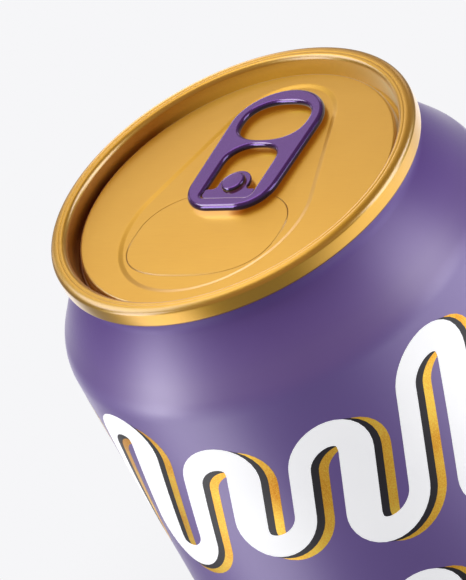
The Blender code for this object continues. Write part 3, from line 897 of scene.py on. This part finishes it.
def make_tab_web(purple):
    """The web that bends between the tongue and the nose bar when the tab is lifted."""
    thick = ISLAND_SHEET * WEB_SHEET_SHARE
    middle = TAB_TOP_Z - ISLAND_STEP - ISLAND_SHEET / 2
    start_y, end_y = ISLAND_FRONT + WEB_LAP_REAR, WEB_HOLE_FRONT - WEB_LAP_FRONT
    steps = 16
    path = []
    for i in range(steps + 1):
        share = i / steps
        y = start_y + (end_y - start_y) * share
        path.append((y, middle - WEB_SAG * math.sin(math.pi * share)))
    web = strip("tab_web", path, ISLAND_HALF_WIDTH - WEB_HOLE_CORNER, thick, 12, purple)
    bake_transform(web)


def make_rivet(purple):
    head = [(0.0, 0.0), (1.45, 0.0), (1.6, 0.01), (1.7, 0.045), (1.78, 0.105)]
    head += [(1.83, 0.185), (1.845, 0.27), (1.845, 0.47), (1.82, 0.51), (1.78, 0.53)]
    shank = RIVET_SHANK_RADIUS
    under = RIVET_BOTTOM_Z + 0.35
    top = TAB_TOP_Z - ISLAND_STEP + RIVET_RISE
    profile = [(r, top - drop) for r, drop in head]
    profile += [(shank, top - 0.54), (shank, under + 0.02), (shank + 0.04, under)]
    profile += [(1.82, under), (1.9, under - 0.08), (1.9, under - 0.2), (1.75, RIVET_BOTTOM_Z)]
    profile += [(0.8, RIVET_BOTTOM_Z), (0.55, RIVET_BOTTOM_Z + 0.15), (0.0, RIVET_BOTTOM_Z + 0.2)]
    rivet = turned("rivet_button", profile, (purple,), sharp=50)
    stand_for(rivet, "can", "rivet")


def make_tear_bridges(gold):
    """The two short unscored bridges that the tear panel bends on."""
    for name, x in (("tear_bridge_left", -BRIDGE_PLACE), ("tear_bridge_right", BRIDGE_PLACE)):
        z = FLOOR_UNDER_Z - BRIDGE_DROP
        ends = (MOUTH_HINGE_EDGE + BRIDGE_REAR, MOUTH_HINGE_EDGE - BRIDGE_FRONT)
        steps = 14
        path = [(ends[0] + (ends[1] - ends[0]) * i / steps, z) for i in range(steps + 1)]
        piece = strip(name, path, BRIDGE_HALF_WIDTH, BRIDGE_SHEET, 4, gold)
        piece.data.transform(Matrix.Translation((x * MM, 0, 0)))
        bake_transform(piece)


# ---------------------------------------------------------------- the print


ROUND = 2 * math.pi * BODY_RADIUS
INK_STEP = 0.012


class Print:
    """One ink's shapes, laid on the wall just above the layer below it."""

    def __init__(self, level, shift_round, shift_up):
        self.surface = Surface()
        self.radius = BODY_RADIUS + INK_STEP * level
        self.shift = (shift_round, shift_up)

    def point(self, along, up):
        angle = (along + self.shift[0]) / BODY_RADIUS
        x, y = self.radius * math.cos(angle), self.radius * math.sin(angle)
        place = (x, y, up + self.shift[1])
        self.surface.points.append(place)
        return len(self.surface.points) - 1

    def grid(self, rows):
        """Faces between each row of points and the next, and from the last row to the first."""
        for one, other in zip(rows, rows[1:] + rows[:1]):
            for i in range(len(one) - 1):
                self.surface.faces.append((one[i], other[i], other[i + 1], one[i + 1]))
                self.surface.slots.append(0)

    def ribbon(self, line):
        """A closed ribbon along points (distance round, height, half width)."""
        steps_across = 6
        rows = []
        count = len(line)
        for i, (along, up, half) in enumerate(line):
            before, after = line[i - 1], line[(i + 1) % count]
            way_x = (after[0] - before[0] + ROUND / 2) % ROUND - ROUND / 2
            way_y = after[1] - before[1]
            length = math.hypot(way_x, way_y)
            side = (-way_y / length * half, way_x / length * half)
            row = []
            for j in range(steps_across + 1):
                across = 1 - 2 * j / steps_across
                row.append(self.point(along + side[0] * across, up + side[1] * across))
            rows.append(row)
        self.grid(rows)

    def made(self, name, look):
        piece = self.surface.made(name, (look,))
        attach(piece, "can")
        return piece


STROKE_PAIRS = 12
SLANT = 0.33
# Each row of waves: the height of its middle, half its height, and where its swell starts.
ROWS = ((82.5, 14.0, 2.2), (49.0, 13.0, 4.0), (21.5, 8.5, 0.6))


def wave_line(middle, half_height, swell):
    """Slanting round-ended waves all the way round: thick falling strokes and thin rising ones."""
    gap = ROUND / (2 * STROKE_PAIRS)
    radius = gap / 2
    thick, thin = 2.5, 1.55
    line = []
    for turn in range(2 * STROKE_PAIRS):
        over = turn % 2 == 0
        lean = math.pi * turn / STROKE_PAIRS
        crests = {}
        for step in (0, 1):
            around = lean + math.pi * step / STROKE_PAIRS
            crests[(turn + step) % 2] = 0.78 + 0.22 * math.sin(3 * around + swell)
        crest = half_height * crests[0] - radius
        trough = radius - half_height * crests[1]
        start, end = (crest, trough) if over else (trough, crest)
        near_half, far_half = (thin, thick) if over else (thick, thin)
        side = 1 if over else -1
        for i in range(18):
            share = i / 18
            ease = share * share * (3 - 2 * share)
            angle = math.pi * share
            x = gap * turn - radius * math.cos(angle)
            half = near_half + (far_half - near_half) * ease
            line.append((x, start + side * radius * math.sin(angle), half))
        for i in range(14):
            line.append((gap * turn + radius, start + (end - start) * i / 14, far_half))
    return [(x + SLANT * y, middle + y, half) for x, y, half in line]


# Each ink, lowest first: its shift round and up, two colours, metallic, roughness and glow.
INKS = {
    "gold": ((2.3, -1.0), (222, 140, 20), (255, 214, 84), 0.75, 0.36, 0.12),
    "black": ((1.05, -0.45), (18, 14, 22), (30, 25, 36), 0.0, 0.45, 0.0),
    "white": ((0.0, 0.0), (243, 243, 246), (248, 248, 250), 0.0, 0.42, 0.3),
}


def make_print():
    for level, (name, (shift, one, other, *surface)) in enumerate(INKS.items(), start=1):
        layer = Print(level, *shift)
        for row in ROWS:
            layer.ribbon(wave_line(*row))
        layer.made("print_" + name, ink("ink_" + name, srgb(*one), srgb(*other), *surface))


# ---------------------------------------------------------------- floor, light and camera

PALE = srgb(246, 246, 248)
GOLD_LIGHT = (1.0, 1.4, 4.0)
TAB_LIGHT = (1.0, 1.7, 0.7)
WARM_AIR = (1.1, 0.84, 0.8)
# Light patches on the floor: azimuth and half width in degrees, strength near the can and far.
FLOOR_PATCHES = (
    (-76, 18, 1.7, 1.0),
    (72, 44, 1.3, 0.0),
    (58, 11, 0.0, 1.3),
    (158, 28, 1.1, 0.1),
    (-164, 24, 1.1, 0.1),
)


def make_camera():
    back = direction(CAMERA_TURN, CAMERA_RISE)
    level = Vector((math.cos(CAMERA_TURN), math.sin(CAMERA_TURN), 0))
    up = back.cross(level)
    c, s = math.cos(CAMERA_ROLL), math.sin(CAMERA_ROLL)
    right = c * level + s * up
    up = -s * level + c * up
    place = CAMERA_DISTANCE * back + CAMERA_SHIFT[0] * right + CAMERA_SHIFT[1] * up
    place.z += HEIGHT
    data = bpy.data.cameras.new("camera")
    data.lens = CAMERA_LENS
    data.sensor_width = CAMERA_SENSOR
    camera = bpy.data.objects.new("camera", data)
    turn = Matrix((right, up, back)).transposed().to_4x4()
    camera.matrix_world = Matrix.Translation(place * MM) @ turn
    bpy.context.scene.collection.objects.link(camera)
    bpy.context.scene.camera = camera


def make_floor():
    """A pale floor that the camera sees evenly lit, but for the soft shadow where the can stands."""
    half = 6.0
    mesh = bpy.data.meshes.new("floor")
    corners = [(-half, -half, 0), (half, -half, 0), (half, half, 0), (-half, half, 0)]
    mesh.from_pydata(corners, [], [(0, 1, 2, 3)])
    n = Nodes(bpy.data.materials.new("floor"))
    place = n.place()
    front = direction(CAMERA_TURN, 0)
    ahead = n.along(place, front)
    right = n.along(place, (-front.y, front.x, 0))
    turn = n.maths("ARCTAN2", right, ahead)
    reach = n.add("VectorMath", {0: place}, operation="LENGTH")["Value"]
    # The patches are soft, and seen only in the can.
    patches = 0.28
    for middle, half, near, far in FLOOR_PATCHES:
        apart = n.maths("ABSOLUTE", n.maths("SUBTRACT", turn, math.radians(middle)))
        edge = math.radians(half)
        strength = n.remap(reach, 0.25, 0.45, near, far)
        patch = n.remap(apart, edge * 0.7, edge * 1.5, strength, 0.0)
        patches = n.maths("ADD", patch, patches)
    patches = n.remap(reach, 0.05, 0.13, 0.28, patches)
    bounce = n.add("Emission", {"Color": (*PALE, 1), "Strength": patches})
    shade = n.add("AmbientOcclusion", {"Distance": 0.09}, samples=8)["AO"]
    shade = n.remap(shade, 0.25, 1.0, 0.55, 1.0)
    glow = n.add("Emission", {"Color": (*PALE, 1), "Strength": shade})
    mixed = n.add("MixShader", {0: n.ray("Camera"), 1: bounce["Emission"], 2: glow["Emission"]})
    n.put(n.tree.nodes["Material Output"], "Surface", mixed["Shader"])
    mesh.materials.append(n.material)
    floor = bpy.data.objects.new("floor", mesh)
    bpy.context.scene.collection.objects.link(floor)


def make_world():
    """Dim studio air, brighter overhead towards the camera and low behind the can."""
    world = bpy.data.worlds.new("studio")
    bpy.context.scene.world = world
    n = Nodes(world)
    way = n.place("Generated")
    front = direction(CAMERA_TURN, 0)
    ahead = n.along(way, front * 0.6 + Vector((0, 0, 0.8)))
    back = n.remap(n.along(way, -front), 0.55, 0.82, 0.0, 0.72)
    side = n.maths("ABSOLUTE", n.along(way, (-front.y, front.x, 0)))
    behind = n.maths("MULTIPLY", back, n.remap(side, 0.05, 0.24, 1.0, 0.1))
    level = n.remap(ahead, -0.3, 0.8, 0.2, 0.34)
    air = [n.remap(n.ray("Glossy"), 0.0, 1.0, 1.0, share) for share in WARM_AIR]
    grey = n.vector(*[n.maths("ADD", n.maths("MULTIPLY", level, tint), behind) for tint in air])
    background = n.tree.nodes["Background"]
    n.put(background, "Color", n.mix(n.ray("Camera"), grey, PALE))


def soft_box(name, pieces, turn, rise, distance, size, radiance, colour=(1, 1, 1)):
    """An area light facing the can's end, at an azimuth from the camera and an elevation.

    It lights only the named pieces, or everything if none is named.
    """
    data = bpy.data.lights.new(name, "AREA")
    data.shape = "RECTANGLE"
    data.size, data.size_y = size[0] * MM, size[1] * MM
    data.energy = radiance * math.pi * data.size * data.size_y
    data.color = colour
    light = bpy.data.objects.new(name, data)
    way = direction(CAMERA_TURN + math.radians(turn), math.radians(rise))
    light.location = (Vector((0, 0, HEIGHT)) + way * distance) * MM
    light.rotation_mode = "QUATERNION"
    light.rotation_quaternion = way.to_track_quat("Z", "Y")
    light.visible_camera = False
    bpy.context.scene.collection.objects.link(light)
    if pieces:
        lit = bpy.data.collections.new(name + "_lights")
        for piece in pieces:
            lit.objects.link(bpy.data.objects[piece])
        light.light_linking.receiver_collection = lit


def make_lights():
    """The strips and boxes round the can. The gold has its own, a little blue, for cream lights."""
    gold = ("can_end_shell", "tear_panel_shell", "tear_bridge_left", "tear_bridge_right")
    tab = ("tab_lever", "tab_tongue", "tab_web", "rivet_button")
    painted = ("can_body_shell", "print_gold", "print_black", "print_white") + tab
    soft_box("left_strip", painted, -87, 14, 450, (150, 520), 4.9)
    soft_box("right_box", painted, 64, 14, 450, (260, 520), 2.4)
    soft_box("left_gold", gold, -88, 12, 450, (200, 520), 1.5, GOLD_LIGHT)
    soft_box("right_gold", gold, 72, 12, 450, (240, 520), 1.65, GOLD_LIGHT)
    soft_box("high_left_gold", gold, -134, 46, 450, (310, 250), 1.45, GOLD_LIGHT)
    soft_box("high_right_gold", gold, 102, 31, 450, (190, 190), 1.5, GOLD_LIGHT)
    soft_box("high_left_tab", tab, -132, 48, 450, (300, 130), 4.6, TAB_LIGHT)
    soft_box("back_high", (), -174, 60, 170, (58, 130), 1.4)
    soft_box("back_right", (), 152, 16, 500, (80, 130), 1.0)
    soft_box("back_left", (), -155, 12, 500, (70, 150), 1.0)
    soft_box("back_low", (), 180, 6, 500, (110, 180), 1.9)


# ---------------------------------------------------------------- the whole scene


def main():
    bpy.context.scene.view_settings.view_transform = "Standard"
    gold = gold_lacquer()
    purple = tab_purple()
    make_body(body_purple(), bare_base(), inner_lacquer())
    make_end(gold)
    make_tear_panel(gold)
    make_tab(purple)
    make_island(purple)
    make_tab_web(purple)
    make_rivet(purple)
    make_tear_bridges(gold)
    make_print()
    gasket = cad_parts["seam_compound"]
    gasket.data.materials.clear()
    gasket.data.materials.append(gasket_rubber())
    make_floor()
    make_world()
    make_lights()
    make_camera()


main()
